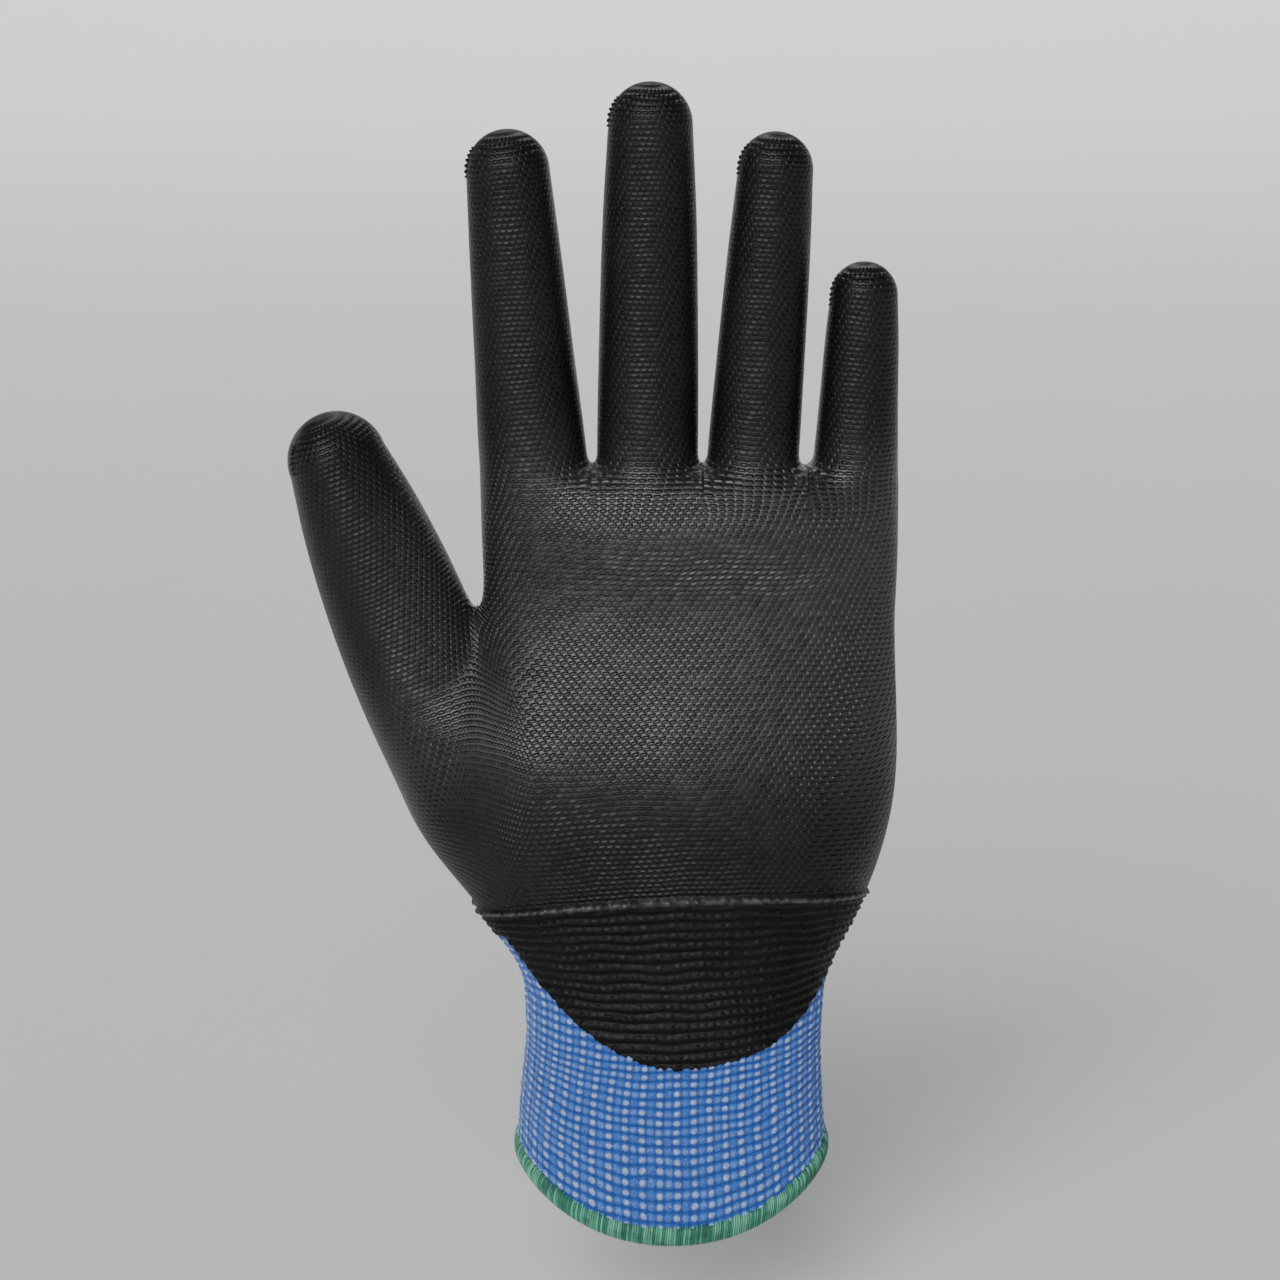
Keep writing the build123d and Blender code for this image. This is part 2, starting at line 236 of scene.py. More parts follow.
class Stall:
    """A finger or thumb stall: its axes, joints and sections, worked out from the frame's joints."""

    def __init__(self, name):
        joints = [joint for joint in frame["joints"] if joint["name"].startswith(name + "_")]
        self.name, sizes = name, SIZES[name]
        self.bodies = ["palm"] + [joint["child"] for joint in joints]
        pivots = [np.array(joint["pos_m"]) / MM for joint in joints]
        self.across = unit(joints[0]["axis"])
        span = pivots[-1] - pivots[0]
        narrowing = PIVOT_SHARE * (sizes[-2][1] - sizes[0][1])
        self.along = unit(span - narrowing * np.cross(self.across, unit(span)))
        self.flex = np.cross(self.across, self.along)
        self.start = pivots[0] - PIVOT_SHARE * sizes[0][1] * self.flex
        self.at = [float((pivot - self.start) @ self.along) for pivot in pivots]
        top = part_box(f"{name}_tip_coating")[1].z / MM
        self.tip = (top - self.start[2]) / self.along[2]
        self.set_marks(sizes)
        self.set_zones([radians(joint["range_deg"][1]) for joint in joints])

    def set_marks(self, sizes):
        """Places along the stall, from its foot inside the palm to its tip's dome, and the sizes there."""
        root = -ROOT_BELOW[self.name]
        finger_foot = [(depth, np.multiply(sizes[0], share)) for depth, share in FINGER_FOOT]
        foot = THUMB_BALL if self.name == "thumb" else finger_foot
        self.dome_height = sizes[-1][0]
        self.dome_start = self.tip - self.dome_height
        self.places = [root - depth for depth, _ in foot] + [root, *self.at[1:], self.dome_start]
        self.widths, self.depths = np.array([size for _, size in foot] + sizes).T

    def set_zones(self, limits):
        """How far each joint's bend spreads either side of it, and where the pieces between joints meet."""
        spread = (1 + PIVOT_SHARE) * BEND_SPREAD
        reach = [limit * spread * self.depth(at) for limit, at in zip(limits, self.at)]
        self.cuts = []
        for i in range(len(self.at) - 1):
            share = reach[i] / (reach[i] + reach[i + 1])
            self.cuts.append(self.at[i] + share * (self.at[i + 1] - self.at[i]))
        room = [self.at[0] + ROOT_BELOW[self.name] - ROOT_CLEAR] + self.cuts
        self.zones = []
        for i, at in enumerate(self.at):
            above = self.cuts[i] - at if i < len(self.cuts) else reach[i]
            below = room[i] if i == 0 else at - self.cuts[i - 1]
            self.zones.append(min(reach[i], above - CUT_CLEAR, below - (CUT_CLEAR if i else 0)))
        self.first = -self.zones[0]

    def local(self, points):
        """(along from the first joint, across, palmward) of points."""
        offset = points - self.start
        return offset @ self.along, offset @ self.across, offset @ self.flex

    def depth(self, s):
        return float(curve(s, self.places, self.depths))

    def point(self, s):
        """A point of the centre line, in metres."""
        return tuple((self.start + s * self.along) * MM)

    def distance(self, points):
        s, u, v = self.local(points)
        width, depth = curve(s, self.places, self.widths), curve(s, self.places, self.depths)
        ring, slope = superellipse(u, v, width, depth, STALL_ROUNDNESS)
        beyond = np.maximum(s - self.dome_start, 0) / self.dome_height
        full = np.sqrt(ring**2 + beyond**2)
        rise = np.sqrt((ring / full * slope)**2 + (beyond / full / self.dome_height)**2)
        return np.maximum((full - 1) / rise, self.places[0] - s)


def superellipse(across, forward, width, depth, power):
    """How far out a point is in a section, 1 on its outline, and how fast that grows per millimetre."""
    a, b = np.abs(across / width) + 1e-6, np.abs(forward / depth) + 1e-6
    ring = (a**power + b**power)**(1 / power)
    slope = ring**(1 - power) * np.sqrt((a**(power - 1) / width)**2 + (b**(power - 1) / depth)**2)
    return ring, slope


STALLS = [Stall(name) for name in SIZES]
*FINGERS, THUMB = STALLS
HEIGHTS, CENTRES, HALF_WIDTHS, HALF_DEPTHS = np.array(SECTIONS).T


def palm_centre(z):
    return curve(z, HEIGHTS, CENTRES)


def palm_distance(points):
    """Distance from the trunk's surface, with its top edge rounded."""
    x, y, z = points.T
    width, depth = curve(z, HEIGHTS, HALF_WIDTHS), curve(z, HEIGHTS, HALF_DEPTHS)
    ring, slope = superellipse(x - palm_centre(z), y, width, depth, SECTION_ROUNDNESS)
    return -soft_min(-(ring - 1) / slope, PALM_TOP - z, TOP_ROUNDING)


def relief(points):
    """How far the palm's front stands out: its pads, heels and hollows."""
    x, y, z = points.T
    total = np.zeros(len(x))
    for centre_x, centre_z, spread_x, spread_z, height in PADS:
        total += height * np.exp(-((x - centre_x) / spread_x)**2 - ((z - centre_z) / spread_z)**2)
    return total * smooth(0, -8, y)


def hand_distance(points):
    """Distance from the outside of the coating, or of the knit as if it were coated."""
    hand = palm_distance(points) - relief(points)
    fingers = FINGERS[0].distance(points)
    for stall in FINGERS[1:]:
        fingers = soft_min(fingers, stall.distance(points), FINGER_WEB)
    hand = soft_min(hand, fingers, WEB)
    z = points[:, 2]
    web = 1 + (BALL_WEB - 1) * smooth(*BALL_FADE, z) * (1 - (1 - BALL_WEB_TOP) * smooth(*BALL_TOP_FADE, z))
    return soft_min(hand, THUMB.distance(points), web)


def coat_edge(points):
    """Distance behind the coating's edge: negative where the glove is coated."""
    wander = EDGE_RAGGED * ripple(points, 5.0, 3)
    edge = points[:, 1] - COAT_WRAP - wander
    for stall in STALLS:
        s, u, _ = stall.local(points)
        tip = stall.tip - TIP_DIP + wander - s
        edge = np.where(np.abs(u) < 1.5 * stall.widths[-1], np.minimum(edge, tip), edge)
    return edge


def skin_distance(points):
    """Distance from the visible surface: the knit lies lower than the coating, by the film's thickness."""
    return hand_distance(points) + FILM * smooth(-0.5, 0.1, coat_edge(points))


def gradient(field, points, step=0.15):
    rises = [field(points + axis) - field(points - axis) for axis in np.eye(3) * step]
    return np.stack(rises, axis=1) / (2 * step)


def settled(field, points, level, rounds, limit=EVERYWHERE):
    """Points moved along a field's slope, in steps no longer than a limit, until they lie on a level."""
    points = np.array(points, float)
    for _ in range(rounds):
        slope = gradient(field, points)
        away = (field(points) - level) / (slope**2).sum(1)
        points -= np.clip(away, -limit, limit)[:, None] * slope
    return points


def in_chunks(field, points, size=400000):
    return np.concatenate([field(points[i:i + size]) for i in range(0, len(points), size)])


def distance_grid():
    """The skin's distance on a grid of voxels, worked out only in the cells near the skin."""
    cell = BLOCK * VOXEL
    count = np.ceil((HAND_HIGH - HAND_LOW) / cell).astype(int)
    index = np.stack(np.meshgrid(*[np.arange(n) for n in count], indexing="ij"), axis=-1)
    middle = HAND_LOW + (index.reshape(-1, 3) + 0.5) * cell
    rough = in_chunks(hand_distance, middle)
    grid = np.empty((*count, BLOCK, BLOCK, BLOCK), np.float32)
    grid[:] = np.where(rough > 0, BAND, -BAND).reshape(*count, 1, 1, 1)
    near = np.flatnonzero(np.abs(rough) < cell * 0.87 + BAND)
    steps = np.stack(np.meshgrid(*[np.arange(BLOCK)] * 3, indexing="ij"), axis=-1).reshape(-1, 3)
    corners = HAND_LOW + index.reshape(-1, 3)[near] * cell
    points = (corners[:, None, :] + steps[None] * VOXEL).reshape(-1, 3)
    values = in_chunks(skin_distance, points)
    flat = grid.reshape(-1, BLOCK, BLOCK, BLOCK)
    flat[near] = np.clip(values, -BAND, BAND).reshape(-1, BLOCK, BLOCK, BLOCK)
    return grid.transpose(0, 3, 1, 4, 2, 5).reshape(count * BLOCK)


def mesh_grid(grid, pitch, level):
    """(points, quads) of one exact level of a distance grid."""
    volume = openvdb.FloatGrid(BAND)
    volume.copyFromArray(np.ascontiguousarray(grid))
    points, quads = volume.convertToQuads(level)
    points = np.asarray(points, float) * pitch + HAND_LOW
    return settled(skin_distance, points, level, 2, pitch), np.asarray(quads, int)


def turned_out(points, quads, normals):
    """The quads with the winding that makes their faces look along the normals."""
    a, b, c = (points[quads[:, i]] for i in range(3))
    facing = (np.cross(b - a, c - b) * normals[quads[:, 0]]).sum(1).sum()
    return quads if facing > 0 else quads[:, ::-1]


# ---- Meshes ----
def placed(name, data):
    thing = bpy.data.objects.new(name, data)
    bpy.context.scene.collection.objects.link(thing)
    return thing


def new_piece(name, points, quads, stitches, normals=None):
    """An object from millimetre points and quads, with each point's place in the knit's stitches."""
    mesh = bpy.data.meshes.new(name)
    mesh.vertices.add(len(points))
    mesh.vertices.foreach_set("co", (points * MM).ravel())
    mesh.loops.add(quads.size)
    mesh.loops.foreach_set("vertex_index", quads.ravel())
    mesh.polygons.add(len(quads))
    mesh.polygons.foreach_set("loop_start", np.arange(0, quads.size, 4))
    mesh.update(calc_edges=True)
    mesh.polygons.foreach_set("use_smooth", np.ones(len(quads), bool))
    place = mesh.attributes.new("stitch", "FLOAT_VECTOR", "POINT")
    place.data.foreach_set("vector", stitches.ravel())
    if normals is not None:
        mesh.normals_split_custom_set_from_vertices(normals)
    return placed(name, mesh)


def dress(piece, material, replaced):
    """Gives a piece its material and slot, and hides the CAD nodes that it stands for."""
    piece.data.materials.append(material)
    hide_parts(*replaced)


def used_part(points, quads, *others):
    """The points that some quads use, with the quads renumbered and the other columns cut to match."""
    used, renumbered = np.unique(quads, return_inverse=True)
    return points[used], renumbered.reshape(quads.shape), *[other[used] for other in others]


def joined(parts):
    """One mesh from several that each are (points, quads, stitches, normals)."""
    starts = np.cumsum([0] + [len(points) for points, *_ in parts])
    parts = [(points, quads + start, *rest) for start, (points, quads, *rest) in zip(starts, parts)]
    return [np.concatenate(column) for column in zip(*parts)]


def ring_quads(rows, columns):
    """Quads of a tube's grid, whose last column meets its first."""
    row, column = np.meshgrid(np.arange(rows - 1), np.arange(columns), indexing="ij")
    here, beside = row * columns + column, row * columns + (column + 1) % columns
    return np.stack([here, beside, beside + columns, here + columns], axis=-1).reshape(-1, 4)


def grid_normals(points, rows, columns):
    """Outward normals of a tube's grid, whose columns run anticlockwise seen from above."""
    grid = points.reshape(rows, columns, 3)
    across = np.roll(grid, -1, axis=1) - np.roll(grid, 1, axis=1)
    return unit(np.cross(across, np.gradient(grid, axis=0))).reshape(-1, 3)


# ---- Stitches of the hand ----
def nearest_stall(points):
    """Number of the stall that a point is nearest to, how far along it the point is, and its distance."""
    distances = np.stack([stall.distance(points) for stall in STALLS])
    along = np.stack([stall.local(points)[0] for stall in STALLS])
    number = distances.argmin(axis=0)
    pick = np.arange(len(points))
    return number, along[number, pick], distances[number, pick]


def hand_stitches(points, coated):
    """Where each point of the hand lies in the knit: (wale, course, how far the rows slant).

    Wales are counted from the middle of the back, by way of the thumb's side, as on the cuff.
    """
    x, y, z = points.T
    front = 1 if coated else -1
    middle = WALES / 2 if coated else 0
    off = x - palm_centre(z)
    flat = curve(z, HEIGHTS, HALF_WIDTHS) - WRAP_RADIUS
    side = np.maximum(np.abs(off) - flat, 0)
    wrapped = np.minimum(np.abs(off), flat) + WRAP_RADIUS * np.arctan2(side, -front * y) * (side > 0)
    wale = np.sign(off) * wrapped / (flat + WRAP_RADIUS * pi / 2) * WALES / 4
    level = z + (RIDGE_Z - ridge(x)) * smooth(*ARCH_FADE, z)
    last = len(course_heights()) - 1
    course = last + (level - RIDGE_Z) / COURSE
    number, s, _ = nearest_stall(points)
    slant = smooth(*SLANT_FADE, z)
    palm = palm_distance(points)
    for i, stall in enumerate(STALLS):
        mine = number == i
        _, u, v = stall.local(points[mine])
        around = curve(s[mine], stall.places, stall.widths) * np.arctan2(u, front * v)
        stall_wale = (around + stall.start[0]) / STALL_WALE
        stall_course = last + (stall.start[2] + s[mine] - RIDGE_Z) / COURSE
        if stall is THUMB:
            share = smooth(*THUMB_SHARE, palm[mine] - stall.distance(points[mine]))
        else:
            share = smooth(*ROOT_SHARE, z[mine] - PALM_TOP)
        wale[mine] += share * (stall_wale - wale[mine])
        course[mine] += share * (stall_course - course[mine])
        slant[mine] *= 1 - share
    return np.stack([middle + front * wale, course, slant], axis=1)


# ---- Wrist line ----
def ridge(x):
    """Height of the raised line where the palm's coating meets the ribs."""
    return RIDGE_Z - RIDGE_FALL * (x - RIDGE_X)**2


def rim(x):
    """Height of the cuff's mouth, lowest at the front and back."""
    return RIM_RADIUS - np.sqrt(RIM_RADIUS**2 - np.clip(x, -40, 40)**2)


# ---- Hand pieces ----
def make_hand(knit, coating):
    """The skin of palm, fingers and thumb, divided at the joints and at the coating's edge."""
    grid = distance_grid()
    outer = mesh_grid(grid, VOXEL, 0.0)
    step = int(INNER_VOXEL / VOXEL)
    inner = mesh_grid(grid[::step, ::step, ::step], INNER_VOXEL, -WALL)
    layers = []
    for (points, quads), outward in ((outer, 1), (inner, -1)):
        normals = outward * unit(gradient(skin_distance, points))
        quads = turned_out(points, quads, normals)
        middles = points[quads].mean(axis=1)
        number, s, distance = nearest_stall(middles)
        first = np.array([stall.first for stall in STALLS])
        on_stall = (s > first[number]) & (distance < palm_distance(middles) + 1)
        coated = (coat_edge(middles) < 0) & (outward > 0)
        kept = middles[:, 2] > ridge(middles[:, 0]) - SKIN_LAP
        layers.append((points, quads, normals, np.where(on_stall, number, -1), s, coated, kept))
    collect = gatherer(layers)
    for coated, material, slot_name in ((True, coating, "coating"), (False, knit, "knit")):
        word = "coated_skin" if coated else "knit_skin"
        palm = collect(-1, -EVERYWHERE, EVERYWHERE, coated, f"palm_{word}")
        dress(palm, material, ("palm_coating",) if coated else ("palm_liner",))
        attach(palm, "palm")
        for i, stall in enumerate(STALLS):
            bounds = [-EVERYWHERE, *stall.cuts, EVERYWHERE]
            segments = SEGMENTS[::2] if stall is THUMB else SEGMENTS
            for j, (part, segment) in enumerate(segments):
                piece = collect(i, bounds[j], bounds[j + 1], coated, f"{stall.name}_{part}_{word}")
                segment = f"{stall.name}_{segment}"
                stands_for = (f"{segment}_coating", f"{segment}_crease") if coated else (f"{segment}_liner",)
                dress(piece, material, stands_for)
                start_point, end_point = (stall.point(stall.at[j] + side * stall.zones[j]) for side in (-1, 1))
                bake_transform(piece)


def gatherer(layers):
    """A function that makes one piece from the faces of the skin's layers inside given limits."""
    def collect(number, start, end, coated, name):
        parts = []
        for points, quads, normals, numbers, s, is_coated, kept in layers:
            wanted = kept & (numbers == number) & (s >= start) & (s < end) & (is_coated == coated)
            if wanted.any():
                part, faces, part_normals = used_part(points, quads[wanted], normals)
                parts.append((part, faces, hand_stitches(part, coated), part_normals))
        return new_piece(name, *joined(parts))
    return collect


# ---- Cuff ----
class Tube:
    """The outside of the wrist and cuff, as columns of points at equal steps round it."""

    def __init__(self, columns):
        self.columns = columns
        self.levels = np.arange(-2.0, RIDGE_Z + 6, TUBE_STEP)
        angles = pi / 2 + np.linspace(0, 2 * pi, TUBE_RAYS + 1)[:-1]
        rays = np.stack([np.cos(angles), np.sin(angles)], axis=1)
        outlines = []
        for z in self.levels:
            centre = np.array([palm_centre(z), 0.0])
            near, far = (np.full(len(angles), radius) for radius in TUBE_RADII)
            for _ in range(TUBE_HALVINGS):
                middle = (near + far) / 2
                points = np.column_stack([centre + rays * middle[:, None], np.full(len(angles), z)])
                inside = hand_distance(points) < 0
                near, far = np.where(inside, middle, near), np.where(inside, far, middle)
            outlines.append(self.spaced(centre + rays * middle[:, None]))
        self.outlines = np.array(outlines)

    def spaced(self, outline):
        """An outline's points at equal steps, from the middle of the back."""
        closed = np.vstack([outline, outline[:1]])
        lengths = np.concatenate([[0], np.cumsum(np.linalg.norm(np.diff(closed, axis=0), axis=1))])
        places = np.linspace(0, lengths[-1], self.columns + 1)[:-1]
        return np.stack([np.interp(places, lengths, closed[:, i]) for i in range(2)], axis=1)

    def at(self, z):
        """Points of every column at its own height: z is (rows, columns)."""
        place = np.clip((z - self.levels[0]) / TUBE_STEP, 0, len(self.levels) - 1.001)
        row, share = place.astype(int), (place % 1)[..., None]
        column = np.arange(self.columns)[None, :]
        return self.outlines[row, column] * (1 - share) + self.outlines[row + 1, column] * share

    def rows(self, heights):
        """Grid of points whose rows run from the mouth's curve to the raised line's.

        The heights are those of the rows at the middle of the front.
        """
        heights = np.asarray(heights, float)[:, None]
        z = np.broadcast_to(heights, (len(heights), self.columns))
        for _ in range(4):
            xy = self.at(z)
            low, high = rim(xy[..., 0]), ridge(xy[..., 0])
            z = low + (high - low) * heights / RIDGE_Z
        return np.concatenate([self.at(z), z[..., None]], axis=2).reshape(-1, 3)


def course_heights():
    """Heights, at the middle of the front, at which each course of stitches starts."""
    heights = [0.0]
    while heights[-1] < RIDGE_Z - RIB_PITCH / 2:
        z = heights[-1]
        blue = LOW_COURSE + (HIGH_COURSE - LOW_COURSE) * smooth(10, DIP_Z, z)
        heights.append(z + blue + (RIB_PITCH - blue) * smooth(DIP_Z - 1, DIP_Z + 1, z))
    return np.array(heights) * RIDGE_Z / heights[-1]


def dome(x):
    """A rounded top: 1 at the middle and 0 from -1 and 1 outwards."""
    return np.clip(1 - x**2, 0, 1)


def rib_share(course):
    """Height of the ribs, as a share of their tops'."""
    return dome((course % 1 - 0.5 - RIB_MIDDLE) / RIB_HALF_HEIGHT)


def stitch_relief(wale, course, film, chance):
    """Height of the stitches at places in the knit, bare or under the film."""
    across, up = wale % 1 - 0.5, course % 1 - 0.5
    column, row = wale.astype(int) % WALES, course.astype(int)
    luck = chance[row, column]
    nub = dome(across / NUB_HALF_WIDTH) * dome(up / NUB_HALF_HEIGHT)
    white = column % 2 == 0
    bare = np.where(white, NUB_HEIGHT, MARL_HEIGHT) * (0.8 + 0.4 * luck) * np.sqrt(nub) - FILM
    ribbed = RIB_HEIGHT * rib_share(course) * (0.5 + 0.5 * dome(2 * across) * (0.4 + luck))
    return bare + (ribbed - bare) * film


def dip_line(x):
    """Height of the coating's edge on the front of the cuff."""
    return curve(x, *np.array(DIP_EDGE).T)


def inner_wall():
    """The inside of the wrist and cuff: (points, quads, stitches, normals)."""
    tube = Tube(WALES)
    heights = np.linspace(1.0, RIDGE_Z, WALL_ROWS)
    points = tube.rows(heights)
    normals = grid_normals(points, WALL_ROWS, tube.columns)
    quads = ring_quads(WALL_ROWS, tube.columns)[:, ::-1]
    wale, course = np.tile(np.arange(tube.columns), WALL_ROWS), np.repeat(heights / HIGH_COURSE, tube.columns)
    return points - normals * WALL, quads, np.stack([wale, course, np.zeros(len(points))], axis=1), -normals


def make_cuff(knit, coating):
    """The knitted tube of wrist and cuff: its stitches, the film and ribs on its front, and its inside."""
    courses = course_heights()
    tube = Tube(WALES * WALE_STEPS)
    course = np.arange((len(courses) - 1) * COURSE_STEPS + 1) / COURSE_STEPS
    heights = np.interp(course, np.arange(len(courses)), courses)
    course = np.concatenate([course, course[-1] + np.divide(LIP_ROWS, RIB_PITCH)])
    heights = np.concatenate([heights, np.add(RIDGE_Z, LIP_ROWS)])
    rows = len(heights)
    base = tube.rows(heights)
    normals = grid_normals(base, rows, tube.columns)
    above_ridge = np.repeat(heights - RIDGE_Z, tube.columns)
    wale = (np.tile(np.arange(tube.columns) / WALE_STEPS, rows) + WANDER * ripple(base, 16.0, 11)) % WALES
    up = np.clip(np.repeat(course, tube.columns) + WANDER * ripple(base, 12.0, 12), 0, course[-1])
    chance = rng.random((len(courses) + 1, WALES))
    stitch_row, stitch_column = np.floor(up).astype(int), np.floor(wale).astype(int)
    jag = (chance[stitch_row, stitch_column] - 0.5) * DIP_JAG
    nub = np.cos(pi * (wale % 1 - 0.5)) * np.cos(pi * (up % 1 - 0.5))
    above = base[:, 2] - dip_line(base[:, 0]) + jag - DIP_POKE * (nub - 0.5)
    front = COAT_WRAP + 2 * jag - base[:, 1]
    film = smooth(-0.3, 0.3, soft_min(above, front, DIP_CORNER))
    height = stitch_relief(wale, up, film, chance)
    lip = np.interp(above_ridge, LIP_PLACES, LIP_HEIGHTS)
    # Painted highlight, with more gloss, on the raised line and more faintly on each rib's top
    highlight_and_gloss = np.maximum(smooth(0.4, 0.9, lip), RIB_TOP_HIGHLIGHT * smooth(0.6, 1.0, rib_share(up)))
    near_ridge = smooth(*RIDGE_FADE, above_ridge)
    bead = dome(2 * (wale % 1) - 1) * (0.5 + chance[-1, stitch_column])
    lip *= np.where(lip > 0, (BACK_LIP + (1 - BACK_LIP) * film) * (0.65 + 0.4 * bead), 1)
    height += (lip - FILM * (1 - film) - height) * near_ridge
    points = base + normals * height[:, None]
    quads = ring_quads(rows, tube.columns)
    coated = film[quads].mean(axis=1) > 0.5
    stitches = np.stack([wale, up, highlight_and_gloss], axis=1)
    shading = grid_normals(points, rows, tube.columns)

    bare = used_part(points, quads[~coated], stitches, shading)
    cuff = new_piece("cuff_knit", *joined([bare, inner_wall()]))
    dress(cuff, knit, ("cuff_liner", "wrist_band"))
    dipped = new_piece("dipped_wrist", *used_part(points, quads[coated], stitches, shading))
    dress(dipped, coating, ("wrist_band_coating", "cuff_dip_edge"))
    for piece in (cuff, dipped):
        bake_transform(piece)


def make_hem(material):
    """The overlock thread round the mouth: a bead of slightly slanted turns, uneven at its upper edge."""
    tube = Tube(HEM_THREADS * THREAD_STEPS)
    low, up = tube.rows([0.0]), tube.rows([HEM_HEIGHT])
    out = grid_normals(np.vstack([low, up]), 2, tube.columns)[:tube.columns]
    rise = unit(up - low)
    turn = np.arange(tube.columns) / THREAD_STEPS
    thread = turn.astype(int) % HEM_THREADS
    fullness = 0.85 + 0.3 * rng.random(HEM_THREADS)[thread]
    reach = 0.8 + 0.45 * rng.random(HEM_THREADS)[thread]
    proud = THREAD_HEIGHT * np.sqrt(dome(2 * (turn % 1) - 1)) * fullness
    rows = []
    angles = np.linspace(0, 2 * pi, HEM_AROUND + 1)[:-1]
    for angle in angles:
        outward = np.sign(cos(angle)) * abs(cos(angle))**0.7 * (HEM_THICK + proud) - WALL / 2
        height = sin(angle) * (HEM_HEIGHT / 2) + HEM_HEIGHT / 2
        stretch = 0.6 + 0.4 * reach if height > HEM_HEIGHT / 2 else 1
        upward = height * stretch - proud * (sin(angle) < -0.5)
        slant = np.roll(np.arange(tube.columns), int(round(-HEM_SLANT * height * THREAD_STEPS)))
        rows.append((low + out * outward[:, None] + rise * upward[:, None])[slant])
    points = np.concatenate(rows)
    quads = ring_quads(HEM_AROUND + 1, tube.columns) % len(points)
    place = [np.tile(turn, HEM_AROUND), np.repeat(angles, tube.columns), np.zeros(len(points))]
    hem = new_piece("hem_overlock_thread_turns", points, quads, np.stack(place, axis=1))
    dress(hem, material, ("hem_overlock_thread",))
    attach(hem, "cuff")


# ---- Threads ----
def onto_skin(points, lift):
    return settled(hand_distance, points, lift, 6)


def new_thread(name, paths, radius, material, body, replaced, closed=False):
    """Thread along one or more millimetre paths, riding on a body in place of a CAD node."""
    data = bpy.data.curves.new(name, "CURVE")
    data.dimensions = "3D"
    data.bevel_depth, data.bevel_resolution = radius * MM, 3
    data.use_fill_caps = True
    for path in paths:
        spline = data.splines.new("POLY")
        spline.points.add(len(path) - 1)
        for point, place in zip(spline.points, path):
            point.co = (*(place * MM), 1)
        spline.use_smooth = True
        spline.use_cyclic_u = closed
    thread = placed(name, data)
    dress(thread, material, (replaced,))
    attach(thread, body)


def make_seams(material):
    """The overcast closing seam on the thumb side of each tip, and the tacks below the crotches."""
    for stall in STALLS:
        steps = np.linspace(0, 1, SEAM_TURNS * 10)
        s = stall.tip - SEAM_START - SEAM_LENGTH * steps
        side = stall.start + s[:, None] * stall.along - stall.across * stall.widths[-1] * 0.9
        side = onto_skin(side + stall.flex * SEAM_FORWARD, 0.0)
        out = unit(gradient(hand_distance, side))
        turn = 2 * pi * SEAM_TURNS * steps
        beside = np.cross(out, stall.along)
        swell = SEAM_RADIUS * np.sin(pi * np.clip(steps, 0.08, 0.92))**0.3
        path = side + (out * np.cos(turn)[:, None] + beside * np.sin(turn)[:, None] * 1.3) * swell[:, None]
        new_thread(f"{stall.name}_closing_seam", [path], SEAM_THREAD, material, stall.bodies[-1],
                   f"{stall.name}_closing_knot")
    paths = []
    for x, z in CROTCHES:
        start = np.add((x, 0, z), TACK_START)
        paths.append(onto_skin(start + np.outer(np.linspace(0, 1, 24), TACK_RUN), 0.05))
    new_thread("crotch_tack_threads", paths, TACK_THREAD, material, "palm", "crotch_tacks")


def make_elastic(material):
    """Elastic thread laid round the inside of the cuff in evenly spaced turns."""
    tube = Tube(WALES)
    low, high = (side.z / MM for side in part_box("cuff_elastic_threads"))
    paths = []
    for z in np.linspace(low, high, ELASTIC_TURNS) - ELASTIC_RADIUS / 2:
        ring = np.column_stack([tube.at(np.full((1, tube.columns), z))[0], np.full(tube.columns, z)])
        out = grid_normals(np.vstack([ring, ring + (0, 0, 1)]), 2, tube.columns)[:tube.columns]
        paths.append(ring - out * (WALL + ELASTIC_RADIUS * 0.6))
    new_thread("elastic_turns", paths, ELASTIC_RADIUS, material, "cuff", "cuff_elastic_threads",
               closed=True)


